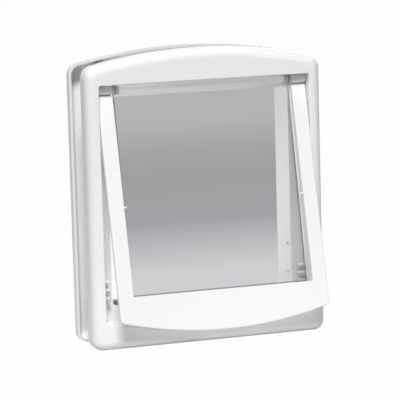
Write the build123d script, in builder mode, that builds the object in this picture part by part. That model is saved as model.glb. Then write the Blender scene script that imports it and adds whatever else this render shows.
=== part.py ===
# Cat flap for a house door: two arched frames clamp the door, and a two-leaf flap hangs in the outdoor one.
# X runs across the door, Y from outdoors to indoors, Z up. The origin is the middle of the door's cut-out,
# in the plane of the door's outdoor face. Sizes are millimetres and heights are taken from the frames' foot.
from build123d import *
from math import cos, radians, sin
import os

# Frames: two arched trays with rounded faces, open towards the door
frame_width = 198.0
frame_height = 236.0
crown_rise = 12.0
shoulder_corner = 10.0
foot_corner = 8.5
flange_depth = 15.5
rear_flange_depth = 13.0
edge_round = 7.5
frame_wall = 2.0
door_thickness = 30.0

# Flap well: the pocket in the outdoor frame that the flap closes into
side_border = 10.6
header_border = 13.1
sill_border = 10.6
sill_sag = 12.0
well_depth = 20.0
well_wall = 2.2
well_corner = 1.5
mouth_round = 0.8

# Stop plate at the back of the well, with the buffer ribs that the flap lands on
stop_thickness = 2.0
stop_ledge = 11.5
stop_height = 21.0
rib_count = 3
rib_pitch = 6.5
rib_width = 7.0
rib_thickness = 1.6
rib_foot = 9.0

# Passage sleeves: the outdoor one slides inside the indoor one and clicks into it
passage_corner = 5.0
sleeve_wall = 2.0
sleeve_depth = 15.6
sleeve_clearance = 0.4
sleeve_lap = 12.0
passage_flare = 4.0
tongue_width = 20.0
tongue_length = 12.0
tongue_slit = 3.0
tongue_foot = 17.0
barb_rise = 1.0
barb_length = 3.0
barb_clearance = 0.8

# Hinge: two headed pins on one axis
hinge_drop = 4.6
hinge_setback = 9.3
pin_radius = 2.0
pin_reach = 3.5
pin_head_radius = 3.2
pin_head_thickness = 1.2
pin_tip_chamfer = 0.4
pin_fit = 0.02
jamb_boss_radius = 3.8
jamb_boss_length = 1.5

# Surround: the white three-sided leaf, with a thin outer rim and a deep wall round its window
surround_angle = 13.75
surround_clearance = 0.8
sill_clearance = 0.7
landing_clearance = 0.3
wall_clearance = 0.9
surround_front = 1.15
rim_depth = 3.6
arm_width = 12.1
arm_drop = 4.7
bar_height = 19.7
surround_wall = 2.0
surround_corner = 4.0
surround_round = 1.0
hub_radius = 3.5
hub_clearance = 0.1
hub_end_clearance = 0.3
neck_setback = 1.5
nub_radius = 0.9
nub_drop = 93.0
nub_reach = 2.2

# Panel: the clear leaf, with a barrel along its top edge
panel_angle = 11.4
panel_thickness = 2.6
panel_lap = 4.5
panel_seat_clearance = 0.3
barrel_radius = 3.8
barrel_fillet = 2.0
bush_radius = 2.9
bush_length = 4.0
bush_fit = 0.03
bush_flange_radius = 3.6
bush_flange_thickness = 1.1
bush_end_clearance = 0.4
bush_running_clearance = 0.06

# Catch: a bar magnet in the surround, and a steel keeper let into the stop plate
magnet_width = 40.0
magnet_height = 7.0
magnet_thickness = 3.0
magnet_recess = 0.2
magnet_wall = 1.6
keeper_height = 9.0
keeper_thickness = 1.0
keeper_recess = 0.1
keeper_lip = 1.0
catch_fit = 0.1

# Draught brush along the sill
brush_base_depth = 4.0
brush_base_thickness = 1.2
brush_pile_depth = 2.2
brush_end_clearance = 1.0
brush_setback = 3.0
brush_gap = 1.5

# Fixing screws, driven from indoors and covered by caps
screw_inset = 29.0
screw_foot = 10.8
screw_head_drop = 17.0
screw_radius = 2.0
screw_grip = 8.0
screw_fit = 0.05
screw_head_radius = 4.0
screw_head_thickness = 2.6
screw_head_round = 1.2
screw_hole_clearance = 0.3
screw_boss_wall = 1.6
cap_pocket_depth = 6.0
cap_pocket_clearance = 0.6
cap_thickness = 2.4
cap_crown = 0.4
cap_round = 0.3
cap_fit = 0.05

# Places worked out from those sizes
front_y = -flange_depth
rear_y = door_thickness + rear_flange_depth
stop_y = front_y + well_depth
sleeve_end_y = stop_y + sleeve_depth
shoulder_height = frame_height - crown_rise
well_half = frame_width / 2 - side_border
header_height = shoulder_height - header_border
sill_side_height = sill_border + sill_sag
passage_half = well_half - stop_ledge
passage_floor = sill_border + stop_height
rear_grow = sleeve_wall + sleeve_clearance
cut_out_centre = (sill_border + header_height) / 2
hinge_height = header_height - hinge_drop
hinge = Vector(0, front_y + hinge_setback, hinge_height - cut_out_centre)

surround_half = well_half - surround_clearance
window_half = surround_half - arm_width
surround_back = hinge.Y - stop_y + wall_clearance
surround_depth = surround_front - surround_back
rim_back = surround_front - rim_depth
rib_rise = stop_y - landing_clearance - hinge.Y + rim_back
bar_side_drop = hinge_height - sill_side_height - sill_clearance
bar_middle_drop = hinge_height - sill_border - sill_clearance
window_drop = bar_side_drop - bar_height
panel_half = window_half - bush_flange_thickness - bush_end_clearance
panel_front = panel_thickness - barrel_radius
panel_drop = window_drop + panel_lap
seat_drop = panel_drop + panel_seat_clearance
catch_height = passage_floor - keeper_lip - catch_fit - keeper_height / 2
catch_drop = hinge_height - catch_height
screw_heights = (screw_foot, frame_height - screw_head_drop)
screw_x = frame_width / 2 - screw_inset
screw_points = [(x, h) for h in screw_heights for x in (-screw_x, screw_x)]
screw_seat_y = rear_y - cap_pocket_depth
cap_pocket_radius = screw_head_radius + cap_pocket_clearance
sides = {"left": -1, "right": 1}


def door_plane(y):
    """Upright plane at depth y, looking indoors, with heights from the frames' foot."""
    return Plane(origin=(0, y, -cut_out_centre), x_dir=(1, 0, 0), z_dir=(0, -1, 0))


def leaf_outward(angle):
    """Direction in which a leaf's outdoor face looks when it is swung out by that angle."""
    return Vector(0, -cos(radians(angle)), sin(radians(angle)))


def leaf_plane(angle, out):
    """Plane of a swung leaf, that far outdoors of the hinge axis, with its Y up the leaf from the axis."""
    outward = leaf_outward(angle)
    return Plane(origin=hinge + outward * out, x_dir=(1, 0, 0), z_dir=outward)


def leaf_side(angle, x):
    """Section plane of a swung leaf at x: its X points outdoors and its Y up the leaf."""
    return Plane(origin=(x, hinge.Y, hinge.Z), x_dir=leaf_outward(angle), z_dir=(-1, 0, 0))


def hinge_plane(x, side):
    """Plane across the hinge axis at x, looking to that side."""
    return Plane(origin=(x, hinge.Y, hinge.Z), z_dir=(side, 0, 0))


def frame_outline(y, inset):
    """Arched outline that both frames share, drawn in by inset."""
    half = frame_width / 2
    with BuildSketch(door_plane(y)) as outline:
        with BuildLine():
            Polyline((-half, shoulder_height), (-half, 0), (half, 0), (half, shoulder_height))
            ThreePointArc((half, shoulder_height), (0, frame_height), (-half, shoulder_height))
        make_face()
        fillet(outline.vertices().group_by(Axis.Y)[0], foot_corner)
        fillet(outline.vertices().group_by(Axis.Y)[-1], shoulder_corner)
        if inset:
            offset(amount=-inset, mode=Mode.REPLACE)
    return outline.sketch


def frame_tray(rim_y, depth):
    """Tray with its open rim at rim_y, that deep to its rounded face: outdoors, or indoors if negative."""
    side, face = (1, 0) if depth > 0 else (-1, -1)
    with BuildPart() as core:
        extrude(frame_outline(rim_y, frame_wall), amount=depth - side * frame_wall)
        fillet(core.faces().sort_by(Axis.Y)[face].edges(), edge_round - frame_wall)
    with BuildPart() as tray:
        extrude(frame_outline(rim_y, 0), amount=depth)
        fillet(tray.faces().sort_by(Axis.Y)[face].edges(), edge_round)
        add(core.part, mode=Mode.SUBTRACT)
    return tray.part


def well_outline(y, grow):
    """Outline of the flap well with its curved sill; grow adds the wall round it."""
    half = well_half + grow
    top = header_height + grow
    corner = sill_side_height - grow
    with BuildSketch(door_plane(y)) as outline:
        with BuildLine():
            Polyline((-half, corner), (-half, top), (half, top), (half, corner))
            ThreePointArc((half, corner), (0, sill_border - grow), (-half, corner))
        make_face()
        fillet(outline.vertices(), well_corner + grow)
    return outline.sketch


def passage_outline(y, grow):
    """Outline of the way through, square under the header and rounded at the floor."""
    height = header_height - passage_floor + 2 * grow
    with BuildSketch(door_plane(y)) as outline:
        with Locations((0, (header_height + passage_floor) / 2)):
            Rectangle(2 * (passage_half + grow), height)
        fillet(outline.vertices().group_by(Axis.Y)[0], passage_corner + grow)
    return outline.sketch


def screw_circles(y, radius):
    """One circle at each fixing screw."""
    with BuildSketch(door_plane(y)) as circles:
        with Locations(*screw_points):
            Circle(radius)
    return circles.sketch


def sleeve_side_box(side, low_y, high_y, low_height, high_height):
    """Rectangle on the sleeves' side wall, between those depths and heights."""
    place = Plane(origin=(side * passage_half, 0, -cut_out_centre), x_dir=(0, 1, 0), z_dir=(1, 0, 0))
    with BuildSketch(place) as box:
        with Locations(((low_y + high_y) / 2, (low_height + high_height) / 2)):
            Rectangle(high_y - low_y, high_height - low_height)
    return box.sketch


# Outdoor frame: tray, well, stop plate and sleeve in one moulding
front_tray = frame_tray(0, flange_depth)
tongue_low = passage_floor + tongue_foot
tongue_high = tongue_low + tongue_width
tongue_root_y = sleeve_end_y - tongue_length
with BuildPart() as front_frame:
    add(front_tray)
    extrude(well_outline(front_y + frame_wall, well_wall), amount=frame_wall - well_depth - stop_thickness)
    extrude(passage_outline(stop_y, sleeve_wall), amount=-sleeve_depth)
    extrude(screw_circles(0, screw_radius + screw_boss_wall), amount=flange_depth - frame_wall)
    for side in sides.values():
        with BuildSketch(hinge_plane(side * (well_half + well_wall), side)):
            Circle(jamb_boss_radius)
        extrude(amount=jamb_boss_length)

    extrude(well_outline(front_y, 0), amount=-well_depth, mode=Mode.SUBTRACT)
    extrude(passage_outline(stop_y, 0), amount=-sleeve_depth, mode=Mode.SUBTRACT)
    extrude(screw_circles(0, screw_radius + screw_fit), amount=screw_grip + screw_fit, mode=Mode.SUBTRACT)
    fillet(front_frame.faces().sort_by(Axis.Y)[0].inner_wires()[0].edges(), mouth_round)

    for side in sides.values():
        with BuildSketch(hinge_plane(side * well_half, side)):
            Circle(pin_radius + pin_fit)
        extrude(amount=well_wall + jamb_boss_length, mode=Mode.SUBTRACT)

        # Buffer ribs on the stop plate, against the well's wall
        with BuildSketch(door_plane(stop_y)):
            with Locations((side * (well_half - rib_width / 2), passage_floor + rib_foot + rib_pitch)):
                with GridLocations(1, rib_pitch, 1, rib_count):
                    Rectangle(rib_width, rib_thickness)
        extrude(amount=rib_rise)

        # Sprung tongue in the sleeve's side wall, with a barb that clicks into the indoor sleeve
        for low in (tongue_low - tongue_slit, tongue_high):
            slit = sleeve_side_box(side, tongue_root_y, sleeve_end_y, low, low + tongue_slit)
            extrude(slit, amount=side * sleeve_wall, mode=Mode.SUBTRACT)
        with BuildSketch(Plane.XY.offset(tongue_low - cut_out_centre)):
            with BuildLine():
                wall_x = side * (passage_half + sleeve_wall)
                Polyline(
                    (wall_x, sleeve_end_y - barb_length),
                    (wall_x + side * barb_rise, sleeve_end_y - barb_length),
                    (wall_x, sleeve_end_y),
                    close=True,
                )
            make_face()
        extrude(amount=tongue_width)

    # Shallow seat for the keeper plate
    with BuildSketch(door_plane(stop_y)):
        with Locations((0, catch_height)):
            Rectangle(magnet_width + 2 * catch_fit, keeper_height + 2 * catch_fit)
    extrude(amount=-keeper_thickness - keeper_recess, mode=Mode.SUBTRACT)

# Indoor frame: the same tray turned round, with the outer sleeve and capped screw bosses
rear_tray = frame_tray(door_thickness, -rear_flange_depth)
with BuildPart() as rear_frame:
    add(rear_tray)
    inner_skin_y = rear_y - frame_wall
    sleeve_start_y = sleeve_end_y - sleeve_lap
    extrude(passage_outline(inner_skin_y, rear_grow + sleeve_wall), amount=inner_skin_y - sleeve_start_y)
    boss_length = cap_pocket_depth + screw_boss_wall - frame_wall
    extrude(screw_circles(inner_skin_y, cap_pocket_radius + screw_boss_wall), amount=boss_length)
    extrude(passage_outline(rear_y, rear_grow), amount=rear_y - sleeve_start_y, mode=Mode.SUBTRACT)
    way_out = rear_frame.faces().sort_by(Axis.Y)[-1].inner_wires()[0].edges()
    fillet(way_out.sort_by(Axis.Z)[:-1], passage_flare)
    hole_places = [Plane(origin=(x, rear_y, h - cut_out_centre), z_dir=(0, 1, 0)) for x, h in screw_points]
    with Locations(*hole_places):
        CounterBoreHole(screw_radius + screw_hole_clearance, cap_pocket_radius, cap_pocket_depth)
    for side in sides.values():
        window = sleeve_side_box(
            side,
            sleeve_end_y - barb_length - barb_clearance,
            sleeve_end_y + barb_clearance,
            tongue_low - barb_clearance,
            tongue_high + barb_clearance,
        )
        extrude(window, amount=side * (rear_grow + sleeve_wall), mode=Mode.SUBTRACT)

# Headed hinge pins, pressed in through the jambs from outside the well
hinge_pins = {}
for name, side in sides.items():
    with BuildPart() as hinge_pin:
        head_x = well_half + well_wall + jamb_boss_length
        with BuildSketch(hinge_plane(side * (panel_half - pin_reach), side)):
            Circle(pin_radius)
        extrude(amount=head_x - panel_half + pin_reach)
        with BuildSketch(hinge_plane(side * head_x, side)):
            Circle(pin_head_radius)
        extrude(amount=pin_head_thickness)
        chamfer(hinge_pin.edges().sort_by(Axis.X)[0 if side > 0 else -1], pin_tip_chamfer)
    hinge_pins[name] = hinge_pin

# Draught brush: a carrier strip on the passage floor with a pile standing on it
with BuildPart() as sill_brush:
    brush_width = 2 * (passage_half - passage_corner - brush_end_clearance)
    brush_middle_y = stop_y + brush_setback + brush_base_depth / 2
    pile_top = hinge_height - panel_drop - brush_gap
    with BuildSketch(Plane.XY.offset(passage_floor - cut_out_centre)):
        with Locations((0, brush_middle_y)):
            Rectangle(brush_width, brush_base_depth)
    extrude(amount=brush_base_thickness)
    with BuildSketch(Plane.XY.offset(passage_floor + brush_base_thickness - cut_out_centre)):
        with Locations((0, brush_middle_y)):
            Rectangle(brush_width, brush_pile_depth)
    extrude(amount=pile_top - passage_floor - brush_base_thickness)

# Steel keeper plate in its seat
with BuildPart() as keeper_plate:
    with BuildSketch(door_plane(stop_y + keeper_recess)):
        with Locations((0, catch_height)):
            Rectangle(magnet_width, keeper_height)
    extrude(amount=-keeper_thickness)

# Four screws through the door, and the caps that hide their heads
with BuildPart() as fixing_screws:
    extrude(screw_circles(screw_seat_y, screw_radius), amount=screw_seat_y + screw_grip)
    extrude(screw_circles(screw_seat_y, screw_head_radius), amount=-screw_head_thickness)
    fillet(fixing_screws.faces().group_by(Axis.Y)[-1].edges(), screw_head_round)

screw_caps = {}
for name, (x, height) in zip(("lower_left", "lower_right", "upper_left", "upper_right"), screw_points):
    with BuildPart() as screw_cap:
        with BuildSketch(door_plane(rear_y + cap_crown)):
            with Locations((x, height)):
                Circle(cap_pocket_radius - cap_fit)
        extrude(amount=cap_thickness)
        fillet(screw_cap.faces().sort_by(Axis.Y)[-1].edges(), cap_round)
    screw_caps[name] = screw_cap


def surround_outline(out, window_x, window_bottom, inset):
    """Three-sided outline round a window, with a bowed lower edge, drawn in by inset."""
    with BuildSketch(leaf_plane(surround_angle, out)) as outline:
        with BuildLine():
            Polyline(
                (surround_half, -bar_side_drop),
                (surround_half, -arm_drop),
                (window_x, -arm_drop),
                (window_x, -window_bottom),
                (-window_x, -window_bottom),
                (-window_x, -arm_drop),
                (-surround_half, -arm_drop),
                (-surround_half, -bar_side_drop),
            )
            bow_ends = [(side * surround_half, -bar_side_drop) for side in (-1, 1)]
            ThreePointArc(bow_ends[0], (0, -bar_middle_drop), bow_ends[1])
        make_face()
        fillet(outline.vertices().group_by(SortBy.DISTANCE)[-1], surround_corner)
        if inset:
            offset(amount=-inset, mode=Mode.REPLACE)
    return outline.sketch


# Surround: a channel open at the back and cut back to a thin outer rim, hung on the pins by two hubs
with BuildPart() as flap_surround:
    extrude(surround_outline(surround_back, window_half, window_drop, 0), amount=surround_depth)
    fillet(flap_surround.faces().sort_by(Axis.Y)[0].edges(), surround_round)
    hollow = surround_outline(surround_back, window_half, seat_drop, surround_wall)
    extrude(hollow, amount=surround_depth - surround_wall, mode=Mode.SUBTRACT)
    outside = surround_outline(surround_back, window_half + surround_wall, seat_drop + surround_wall, 0)
    extrude(outside, amount=rim_back - surround_back, mode=Mode.SUBTRACT)

    # Seat behind the bar's upper edge, for the panel's lower edge
    with BuildSketch(leaf_plane(surround_angle, surround_back)):
        with Locations((0, -(window_drop + seat_drop) / 2)):
            Rectangle(2 * window_half, seat_drop - window_drop)
    extrude(amount=panel_front + panel_seat_clearance - surround_back, mode=Mode.SUBTRACT)

    # Magnet holder inside the bar
    with BuildSketch(leaf_plane(surround_angle, surround_back)):
        with Locations((0, -catch_drop)):
            Rectangle(magnet_width + 2 * magnet_wall, magnet_height + 2 * magnet_wall)
    extrude(amount=surround_depth - surround_wall / 2)
    with BuildSketch(leaf_plane(surround_angle, surround_back)):
        with Locations((0, -catch_drop)):
            Rectangle(magnet_width + 2 * catch_fit, magnet_height + 2 * catch_fit)
    extrude(amount=magnet_thickness + magnet_recess, mode=Mode.SUBTRACT)

    for side in sides.values():
        # Hub on the hinge pin, with a neck behind it that joins it to the arm
        with BuildSketch(leaf_side(surround_angle, side * (surround_half + window_half) / 2)):
            Circle(hub_radius)
            with Locations((-(hub_radius + neck_setback) / 2, -(arm_drop + surround_wall) / 2)):
                Rectangle(hub_radius - neck_setback, arm_drop + surround_wall)
            Circle(pin_radius + hub_clearance, mode=Mode.SUBTRACT)
        extrude(amount=arm_width / 2 - hub_end_clearance, both=True)

        # Nub on the arm's inner wall that keeps the panel behind the window
        nub_out = panel_front + panel_seat_clearance + nub_radius
        nub_plane = leaf_side(surround_angle, side * window_half)
        with BuildSketch(nub_plane):
            with Locations((nub_out, -nub_drop)):
                Circle(nub_radius)
        extrude(amount=side * nub_reach)

# Bar magnet in its holder
with BuildPart() as flap_magnet:
    with BuildSketch(leaf_plane(surround_angle, surround_back + magnet_recess)):
        with Locations((0, -catch_drop)):
            Rectangle(magnet_width, magnet_height)
    extrude(amount=magnet_thickness)

# Clear panel: sheet and barrel in one moulding, bored at both ends for the bushes
with BuildPart() as flap_panel:
    with BuildSketch(leaf_side(panel_angle, 0)) as section:
        Circle(barrel_radius)
        with Locations((panel_front - panel_thickness / 2, -panel_drop / 2)):
            Rectangle(panel_thickness, panel_drop)
        fillet(section.vertices().sort_by(Axis.Y)[-2:], barrel_fillet)
    extrude(amount=panel_half, both=True)
    for side in sides.values():
        with BuildSketch(hinge_plane(side * panel_half, side)):
            Circle(bush_radius + bush_fit)
        extrude(amount=-bush_length, mode=Mode.SUBTRACT)

# Flanged bushes in the barrel's ends
barrel_bushes = {}
for name, side in sides.items():
    with BuildPart() as barrel_bush:
        with BuildSketch(hinge_plane(side * panel_half, side)):
            Circle(bush_radius)
        extrude(amount=-bush_length)
        with BuildSketch(hinge_plane(side * panel_half, side)):
            Circle(bush_flange_radius)
        extrude(amount=bush_flange_thickness)
        with BuildSketch(hinge_plane(side * (panel_half + bush_flange_thickness), side)):
            Circle(pin_radius + bush_running_clearance)
        extrude(amount=-bush_length - bush_flange_thickness, mode=Mode.SUBTRACT)
    barrel_bushes[name] = barrel_bush

pieces = {
    "front_frame": front_frame,
    "rear_frame": rear_frame,
    "sill_brush": sill_brush,
    "keeper_plate": keeper_plate,
    "fixing_screws": fixing_screws,
    "flap_surround": flap_surround,
    "flap_magnet": flap_magnet,
    "flap_panel": flap_panel,
}
pieces.update({f"hinge_pin_{name}": pin for name, pin in hinge_pins.items()})
pieces.update({f"barrel_bush_{name}": bush for name, bush in barrel_bushes.items()})
pieces.update({f"screw_cap_{name}": cap for name, cap in screw_caps.items()})

os.makedirs("parts", exist_ok=True)
for name, piece in pieces.items():
    piece.part.label = name
    export_step(piece.part, f"parts/{name}.step")
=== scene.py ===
# A cat flap for a house door: two white plastic frames clamp the door between them, and a flap of two leaves
# hangs on one pair of pins in the outdoor frame. Everything is in metres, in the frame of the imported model:
# X across the door, Y from outdoors to indoors, Z up.
import random
from math import pi, radians, sqrt

import bmesh
import bpy
from mathutils import Matrix, Vector


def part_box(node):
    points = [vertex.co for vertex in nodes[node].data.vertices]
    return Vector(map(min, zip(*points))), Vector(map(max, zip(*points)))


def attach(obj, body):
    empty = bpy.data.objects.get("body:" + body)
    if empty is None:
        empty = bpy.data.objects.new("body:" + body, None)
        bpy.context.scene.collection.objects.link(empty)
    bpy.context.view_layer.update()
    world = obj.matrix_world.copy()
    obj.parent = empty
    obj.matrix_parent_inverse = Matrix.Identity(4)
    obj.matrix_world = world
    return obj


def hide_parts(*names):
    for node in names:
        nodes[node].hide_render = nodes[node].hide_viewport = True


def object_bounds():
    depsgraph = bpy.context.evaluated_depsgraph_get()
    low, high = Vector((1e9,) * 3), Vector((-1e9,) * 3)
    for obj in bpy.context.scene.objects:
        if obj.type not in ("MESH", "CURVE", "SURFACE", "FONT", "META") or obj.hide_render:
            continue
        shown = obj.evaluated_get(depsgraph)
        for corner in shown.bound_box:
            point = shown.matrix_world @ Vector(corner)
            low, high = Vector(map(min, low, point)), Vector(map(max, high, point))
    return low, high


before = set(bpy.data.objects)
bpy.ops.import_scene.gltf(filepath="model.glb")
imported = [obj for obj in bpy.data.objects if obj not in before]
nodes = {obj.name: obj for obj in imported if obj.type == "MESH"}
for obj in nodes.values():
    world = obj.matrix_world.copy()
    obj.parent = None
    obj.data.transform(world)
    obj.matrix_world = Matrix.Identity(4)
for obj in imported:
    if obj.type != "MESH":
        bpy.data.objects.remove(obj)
cad_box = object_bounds()


# Outdoor frame: one white injection moulding with the well that the flap closes into, the stop ledge behind it
# and the inner half of the sleeve. It leaves the tool with a satin grain, and its skin sinks by a hair
# where thicker sections stand behind it.
class Shade:
    """One socket of a node tree. Arithmetic on it adds Math nodes."""

    def __init__(self, tree, socket=None):
        self.tree = tree
        self.socket = socket

    def node(self, kind, settings, inputs, out=0):
        """Adds a node: its settings first, then the values or links of its sockets."""
        made = self.tree.nodes.new(kind)
        for name, value in settings.items():
            if name == "stops":
                while len(made.color_ramp.elements) < len(value):
                    made.color_ramp.elements.new(0.5)
                for element, (place, tone) in zip(made.color_ramp.elements, value):
                    element.position = place
                    element.color = (*tone, 1)
            else:
                setattr(made, name, value)
        for name, value in inputs.items():
            self.feed(made.inputs[name], value)
        return Shade(self.tree, made.outputs[out])

    def feed(self, socket, value):
        """Gives a socket a value, or the link of another Shade."""
        if isinstance(value, Shade):
            self.tree.links.new(value.socket, socket)
        else:
            socket.default_value = value

    def math(self, operation, *values):
        return self.node("ShaderNodeMath", {"operation": operation}, dict(enumerate(values)))

    def __add__(self, other):
        return self.math("ADD", self, other)

    def __sub__(self, other):
        return self.math("SUBTRACT", self, other)

    def __rsub__(self, other):
        return self.math("SUBTRACT", other, self)

    def __mul__(self, other):
        return self.math("MULTIPLY", self, other)

    __radd__ = __add__
    __rmul__ = __mul__


def new_finish(name, **even):
    """A material with its Principled shader's even values set, and a Shade to build on."""
    material = bpy.data.materials.new(name)
    material.use_nodes = True
    shader = material.node_tree.nodes["Principled BSDF"]
    for socket, value in even.items():
        shader.inputs[socket.replace("_", " ")].default_value = value
    shade = Shade(material.node_tree)
    place = shade.node("ShaderNodeTexCoord", {}, {}, "Object")
    return material, shader, shade, place


def noise(shade, place, scale, detail):
    """Soft noise, with its scale per metre."""
    return shade.node("ShaderNodeTexNoise", {}, {"Vector": place, "Scale": scale, "Detail": detail})


def blend(shade, amount, first, second):
    """A colour between two tones."""
    tones = {0: amount, 6: (*first, 1), 7: (*second, 1)}
    return shade.node("ShaderNodeMix", {"data_type": "RGBA"}, tones, 2)


def moulded(name, tone, deep_tone, gloss, grain):
    """Moulded plastic: slow clouds of two close tones, an uneven gloss, a fine grain and faint sinks."""
    material, shader, shade, place = new_finish(name, IOR=1.5)
    clouds = noise(shade, place, 28, 3)
    flecks = noise(shade, place, 900, 2)
    shade.feed(shader.inputs["Base Color"], blend(shade, clouds, tone, deep_tone))
    shade.feed(shader.inputs["Roughness"], gloss + 0.05 * clouds + 0.04 * flecks)
    pores = noise(shade, place, 2600, 2)
    sinks = noise(shade, place, 45, 1)
    bump = {"Strength": grain, "Distance": 0.0001, "Height": pores * 0.5 + sinks * 2}
    shade.feed(shader.inputs["Normal"], shade.node("ShaderNodeBump", {}, bump))
    return material


def paint(node, material):
    """Gives a CAD node its finish."""
    mesh = nodes[node].data
    mesh.materials.clear()
    mesh.materials.append(material)


frame_white = moulded("frame_white", (0.83, 0.83, 0.84), (0.80, 0.80, 0.815), 0.36, 0.25)
paint("front_frame", frame_white)

# Indoor frame: the same tray turned round, in the same white plastic. Its sleeve slides over the outdoor one,
# and the tray's open side shows its plain inner walls between the two frames.
paint("rear_frame", frame_white)

# Hinge pins and bushes: headed pins of natural nylon, pressed in through the jambs, and the flanged bushes that line
# the barrel's ends and turn on them. The nylon is a little warmer and less glossy than the white mouldings.
nylon = moulded("nylon", (0.87, 0.87, 0.86), (0.84, 0.84, 0.83), 0.42, 0.15)
for side in ("left", "right"):
    paint(f"hinge_pin_{side}", nylon)
    paint(f"barrel_bush_{side}", nylon)

# Draught brush: a grey plastic strip stuck to the sill of the way through, with a dense pile of short
# polypropylene bristles standing in it, none of them quite upright. The pile runs on a little past the strip's
# ends, up the rounded corners of the sill.
brush_low, brush_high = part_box("sill_brush")
brush_middle = (brush_low + brush_high) / 2
carrier_height = 0.0012
carrier_bevel = 0.0003
pile_depth = 0.0022
pile_root = brush_low.z + carrier_height / 2
bristle_radius = 0.00017
bristle_taper = 0.6
bristle_pitch = 0.0006
bristle_rows = 5
bristle_lean = 0.07
shortest_bristle = 0.88
pile_overrun = 0.004
strip_to_corner = 0.001
corner_radius = 0.005
random.seed(11)

strip = bmesh.new()
carrier_size = (brush_high.x - brush_low.x, brush_high.y - brush_low.y, carrier_height)
carrier_place = Matrix.Translation((brush_middle.x, brush_middle.y, brush_low.z + carrier_height / 2))
bmesh.ops.create_cube(strip, size=1, matrix=carrier_place @ Matrix.Diagonal((*carrier_size, 1)))
bmesh.ops.bevel(
    strip,
    geom=strip.edges[:],
    offset=carrier_bevel,
    segments=2,
    profile=0.5,
    affect="EDGES",
    material=-1,
)
pile_left = brush_low.x - pile_overrun
bristle_count = int((brush_high.x + pile_overrun - pile_left - bristle_pitch) / bristle_pitch)
for row in range(bristle_rows):
    row_y = brush_middle.y + pile_depth * ((row + 0.5) / bristle_rows - 0.5)
    for number in range(bristle_count):
        x = pile_left + bristle_pitch * (number + 1 + 0.5 * (row % 2) - 0.25)
        into_corner = max(0, abs(x) - brush_high.x - strip_to_corner)
        root = pile_root + corner_radius - sqrt(corner_radius**2 - into_corner**2)
        height = (brush_high.z - root) * random.uniform(shortest_bristle, 1)
        lean = Matrix.Rotation(random.uniform(-bristle_lean, bristle_lean), 4, "X")
        lean = lean @ Matrix.Rotation(random.uniform(-bristle_lean, bristle_lean), 4, "Y")
        stand = Matrix.Translation((x, row_y, root)) @ lean @ Matrix.Translation((0, 0, height / 2))
        bmesh.ops.create_cone(
            strip,
            cap_ends=True,
            segments=4,
            radius1=bristle_radius,
            radius2=bristle_radius * bristle_taper,
            depth=height,
            matrix=stand,
        )

bristle_grey, bristle_shader, shade, place = new_finish("bristle_grey", IOR=1.49)
streaks = noise(shade, place, 700, 2)
bristle_tone = blend(shade, streaks, (0.13, 0.125, 0.12), (0.34, 0.33, 0.32))
shade.feed(bristle_shader.inputs["Base Color"], bristle_tone)
shade.feed(bristle_shader.inputs["Roughness"], 0.45 + 0.2 * streaks)


def piece(name, form, material):
    """Makes an object at the origin from a bmesh whose vertices are in place."""
    mesh = bpy.data.meshes.new(name)
    form.to_mesh(mesh)
    form.free()
    mesh.materials.append(material)
    made = bpy.data.objects.new(name, mesh)
    bpy.context.scene.collection.objects.link(made)
    return made


sill_bristles = piece("sill_bristles", strip, bristle_grey)
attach(sill_bristles, "frame")
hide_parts("sill_brush")

# Keeper plate: a strip of zinc-plated steel let into the stop ledge, opposite the flap's magnet.
# The plating is pale and faintly streaked along the strip by the rolling of the sheet.
zinc_steel, zinc_shader, shade, place = new_finish("zinc_steel", Metallic=1)
along = shade.node("ShaderNodeMapping", {}, {"Vector": place, "Scale": (0.08, 1, 1)})
rolled = noise(shade, along, 1800, 3)
bloom = noise(shade, place, 120, 2)
shade.feed(zinc_shader.inputs["Base Color"], blend(shade, bloom, (0.60, 0.60, 0.61), (0.72, 0.72, 0.71)))
shade.feed(zinc_shader.inputs["Roughness"], 0.28 + 0.16 * rolled)
rolling = {"Strength": 0.12, "Distance": 0.00005, "Height": rolled}
shade.feed(zinc_shader.inputs["Normal"], shade.node("ShaderNodeBump", {}, rolling))
paint("keeper_plate", zinc_steel)

# Fixing screws: four zinc-plated pan-head screws with a coarse thread, driven from indoors through the door
# into the outdoor frame's bosses. Their heads sit in pockets under the caps.
screw_low, screw_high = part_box("fixing_screws")
shank_radius = 0.002
root_radius = 0.0016
head_radius = 0.004
head_height = 0.0026
head_edge_height = 0.0014
head_shoulder = (0.0004, 0.0022)
head_crown = 0.0012
plain_length = 0.0025
run_in = 0.0005
thread_end = 0.004
thread_pitch = 0.0015
thread_half = 0.00045
thread_bite = 0.0002
thread_steps = 16
point_length = 0.003
point_radius = 0.0005
turning_steps = 24
seat_y = screw_high.y - head_height
thread_turns = int((seat_y - thread_end - screw_low.y - point_length) / thread_pitch)

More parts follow.
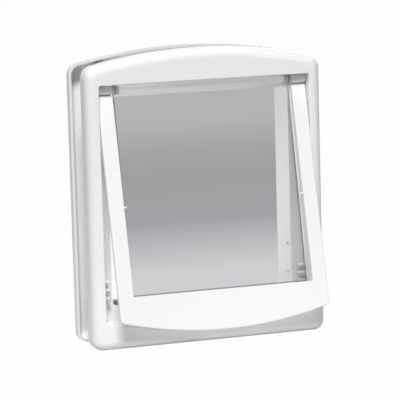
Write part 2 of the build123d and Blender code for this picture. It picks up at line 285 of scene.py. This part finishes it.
turned_outline = (
    (0, screw_low.y),
    (point_radius, screw_low.y),
    (root_radius, screw_low.y + point_length),
    (root_radius, seat_y - plain_length - run_in),
    (shank_radius, seat_y - plain_length),
    (shank_radius, seat_y),
    (head_radius, seat_y),
    (head_radius, seat_y + head_edge_height),
    (head_radius - head_shoulder[0], seat_y + head_shoulder[1]),
    (head_radius - head_crown, screw_high.y),
    (0, screw_high.y),
)
screws = bmesh.new()
for x in (screw_low.x + head_radius, screw_high.x - head_radius):
    for z in (screw_low.z + head_radius, screw_high.z - head_radius):
        rim = [screws.verts.new((x + radius, y, z)) for radius, y in turned_outline]
        wire = [screws.edges.new(pair) for pair in zip(rim, rim[1:])]
        bmesh.ops.spin(
            screws,
            geom=rim + wire,
            cent=(x, 0, z),
            axis=(0, 1, 0),
            angle=2 * pi,
            steps=turning_steps,
            use_merge=True,
        )
        thread_y = screw_low.y + point_length
        crest = [
            screws.verts.new((x + root_radius - thread_bite, thread_y - thread_half, z)),
            screws.verts.new((x + shank_radius, thread_y, z)),
            screws.verts.new((x + root_radius - thread_bite, thread_y + thread_half, z)),
        ]
        section = screws.faces.new(crest)
        bmesh.ops.spin(
            screws,
            geom=[section],
            cent=(x, 0, z),
            axis=(0, 1, 0),
            dvec=(0, thread_pitch / thread_steps, 0),
            angle=2 * pi * thread_turns,
            steps=thread_steps * thread_turns,
        )
bmesh.ops.remove_doubles(screws, verts=screws.verts, dist=0.00001)
bmesh.ops.recalc_face_normals(screws, faces=screws.faces)
threaded_screws = piece("threaded_screws", screws, zinc_steel)
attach(threaded_screws, "frame")
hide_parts("fixing_screws")

# Screw caps: small white discs of the frames' plastic, set into the indoor frame's pockets to hide the heads
# of the screws.
for corner in ("lower_left", "lower_right", "upper_left", "upper_right"):
    paint(f"screw_cap_{corner}", frame_white)

# Surround: the white three-sided leaf, moulded as a channel that is open at the back and hung on the pins by two
# hubs. It is a shade brighter than the frames, with a slightly glossier face.
leaf_white = moulded("leaf_white", (0.86, 0.86, 0.865), (0.84, 0.84, 0.85), 0.32, 0.2)
paint("flap_surround", leaf_white)

# Bar magnet: a block of sintered ferrite, nearly black and slightly grainy, pressed into its holder behind the
# surround's bar.
ferrite, ferrite_shader, shade, place = new_finish("ferrite", IOR=1.8)
grains = noise(shade, place, 1500, 3)
ferrite_tone = blend(shade, grains, (0.035, 0.035, 0.037), (0.075, 0.072, 0.07))
shade.feed(ferrite_shader.inputs["Base Color"], ferrite_tone)
shade.feed(ferrite_shader.inputs["Roughness"], 0.5 + 0.2 * grains)
paint("flap_magnet", ferrite)

# Panel: the clear leaf, moulded with the barrel along its top edge in a see-through plastic with a breath of
# smoke in it. Thin dark lines along its side edges, and across it a little above its lower edge where it sits behind
# the bar, are painted shade for the shadow in the gaps between it and the surround. The barrel is left with a satin
# skin, and fine scuffs from coats and paws dull the gloss here and there.
panel_low, panel_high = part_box("flap_panel")
# Width and place of the painted gap shadows on the panel.
edge_shadow_width = 0.0008
gap_shadow_height = 0.0052
gap_shadow_half = 0.0008
barrel_height = 0.0098
painted_shadow_tone = (0.42, 0.42, 0.43, 1)
faint_smoke, panel_shader, shade, place = new_finish("faint_smoke", Transmission_Weight=1, IOR=1.49)
across = shade.node("ShaderNodeSeparateXYZ", {}, {"Vector": place}, "X")
up = shade.node("ShaderNodeSeparateXYZ", {}, {"Vector": place}, "Z")
# Painted shade: the side edges and a thin band across the lower part go dark, for the gap shadows at the surround.
edges = shade.math("GREATER_THAN", shade.math("ABSOLUTE", across), panel_high.x - edge_shadow_width)
painted_gap_shadow = shade.math("COMPARE", up, panel_low.z + gap_shadow_height, gap_shadow_half)
wisps = noise(shade, place, 9, 2)
clear = blend(shade, wisps, (0.88, 0.885, 0.89), (0.92, 0.92, 0.92))
painted_shadow_lines = shade.math("MAXIMUM", edges, painted_gap_shadow)
shadow_lined_tone = shade.node("ShaderNodeMix", {"data_type": "RGBA"}, {0: painted_shadow_lines, 6: clear, 7: painted_shadow_tone}, 2)
shade.feed(panel_shader.inputs["Base Color"], shadow_lined_tone)
scuffs = noise(shade, place, 60, 4)
satin = shade.math("GREATER_THAN", up, panel_high.z - barrel_height)
shade.feed(panel_shader.inputs["Roughness"], 0.03 + 0.05 * scuffs + 0.5 * satin)
paint("flap_panel", faint_smoke)

# Studio: a white table top that runs out to a white surround. Near the part the table glows to diffuse rays,
# standing in for light bounced up off it, and that glow fades out at the part's foot as a painted contact shadow. A
# soft key lamp stands high in front and to the left, a weaker one behind and to the right, and a small one lights
# the way through.
# To the camera and in gloss it is all white. Through the clear leaf the sky is an even grey and the table is a grey
# sweep with painted shade: lighter close behind the part, darkest in its middle and a little lighter again far off.
floor_gap = 0.0002
floor_half = 12
floor_place = Matrix.Translation((0, 0, cad_box[0][2] - floor_gap))
ground = bmesh.new()
bmesh.ops.create_grid(ground, x_segments=1, y_segments=1, size=floor_half, matrix=floor_place)


def ray_is(shade, kind):
    """1 for rays of one kind, such as Camera, and 0 for the others."""
    return shade.node("ShaderNodeLightPath", {}, {}, f"Is {kind} Ray")


floor_white = bpy.data.materials.new("floor_white")
floor_white.use_nodes = True
floor_white.node_tree.nodes.clear()
shade = Shade(floor_white.node_tree)
place = shade.node("ShaderNodeTexCoord", {}, {}, "Object")
sideways = shade.node("ShaderNodeSeparateXYZ", {}, {"Vector": place}, "X")
behind = shade.node("ShaderNodeSeparateXYZ", {}, {"Vector": place}, "Y")
# Painted shade: the sweep seen through the clear leaf darkens from close behind the part to its middle, then
# lightens a little further back.
sweep_shade_length = 1.5
painted_sweep_shade = shade.node(
    "ShaderNodeValToRGB",
    {
        "stops": (
            (0.20, (0.68, 0.68, 0.70)),
            (0.29, (0.54, 0.54, 0.56)),
            (0.40, (0.36, 0.37, 0.385)),
            (0.62, (0.345, 0.355, 0.36)),
            (0.80, (0.40, 0.395, 0.395)),
            (1.00, (0.48, 0.48, 0.47)),
        )
    },
    {"Fac": behind * (1 / sweep_shade_length)},
)
through_panel = ray_is(shade, "Transmission")
in_sight = shade.math("MAXIMUM", ray_is(shade, "Camera"), ray_is(shade, "Glossy"))
tone = shade.node("ShaderNodeMix", {"data_type": "RGBA"}, {0: through_panel, 6: (1, 1, 1, 1), 7: painted_sweep_shade}, 2)
matt = shade.node("ShaderNodeBsdfDiffuse", {}, {"Color": (0.45, 0.45, 0.45, 1)})
lit = shade.node("ShaderNodeEmission", {}, {"Color": tone, "Strength": 1})

# The table's glow to diffuse rays is painted bounce light, strongest near the part; it falls to nothing within a few
# millimetres of the part's foot, a painted contact shadow.
glow_reach = 0.6
floor_glow = 1.4
foot_half_width = 0.098
foot_middle = 0.0138
foot_half_depth = 0.0265
shadow_reach = 0.004
around = shade.node("ShaderNodeMapping", {}, {"Vector": place, "Scale": (1 / glow_reach, 1 / glow_reach, 0)})
nearness = shade.node("ShaderNodeTexGradient", {"gradient_type": "SPHERICAL"}, {"Vector": around}, 1)
past_side = shade.math("ABSOLUTE", sideways) - foot_half_width
past_face = shade.math("ABSOLUTE", behind - foot_middle) - foot_half_depth
past_foot = shade.math("MAXIMUM", past_side, past_face) * (1 / shadow_reach)
outside_painted_shadow = shade.node("ShaderNodeClamp", {}, {"Value": past_foot})
painted_bounce_glow = floor_glow * nearness * outside_painted_shadow * ray_is(shade, "Diffuse")

white_share = 0.98
shine = white_share * in_sight + through_panel + painted_bounce_glow
floor_mix = shade.node("ShaderNodeMixShader", {}, {0: shine, 1: matt, 2: lit})
output = floor_white.node_tree.nodes.new("ShaderNodeOutputMaterial")
shade.feed(output.inputs["Surface"], floor_mix)
floor = piece("floor", ground, floor_white)

world = bpy.data.worlds.new("white_surround")
bpy.context.scene.world = world
world.use_nodes = True
shade = Shade(world.node_tree)
sky = world.node_tree.nodes["Background"]
sky.inputs["Color"].default_value = (1, 1, 1, 1)
ambient = 0.02
sky_through_panel = 0.42
through_panel = ray_is(shade, "Transmission")
in_sight = shade.math("MAXIMUM", ray_is(shade, "Camera"), ray_is(shade, "Glossy"))
seen = (1 - ambient) * in_sight * (1 - through_panel) + (sky_through_panel - ambient) * through_panel
shade.feed(sky.inputs["Strength"], ambient + seen)


def soft_lamp(name, place, aim, width, height, power):
    """A rectangular softbox that looks at a point, and isn't seen itself."""
    lamp = bpy.data.lights.new(name, "AREA")
    lamp.shape = "RECTANGLE"
    lamp.size = width
    lamp.size_y = height
    lamp.energy = power
    made = bpy.data.objects.new(name, lamp)
    made.location = place
    made.rotation_euler = (Vector(aim) - Vector(place)).to_track_quat("-Z", "Y").to_euler()
    made.visible_camera = False
    made.visible_transmission = False
    bpy.context.scene.collection.objects.link(made)


soft_lamp("key_lamp", (-0.789, -1.953, 2.795), (0, 0, 0), 0.7, 0.7, 137)
soft_lamp("tunnel_lamp", (-0.055, 0.10, 0), (0.08, 0, 0), 0.03, 0.2, 0.13)
soft_lamp("rear_lamp", (1.6, 1.9, 0.7), (0, 0, 0), 1.2, 1.2, 26)

# Camera: a long lens to the left of the flap and above it, about two metres away.
# It is turned by a small roll.
camera_place = Vector((-0.6464, -1.8109, 0.2813))
camera_aim = Vector((-0.002, 0, 0.0022))
camera_roll = radians(-1.625)
camera = bpy.data.cameras.new("photo_camera")
camera.lens = 217.9
camera.sensor_width = 36
photo_camera = bpy.data.objects.new("photo_camera", camera)
look = (camera_aim - camera_place).to_track_quat("-Z", "Y").to_matrix().to_4x4()
roll = Matrix.Rotation(camera_roll, 4, "Z")
photo_camera.matrix_world = Matrix.Translation(camera_place) @ look @ roll
bpy.context.scene.collection.objects.link(photo_camera)
bpy.context.scene.camera = photo_camera
bpy.context.scene.view_settings.view_transform = "Standard"
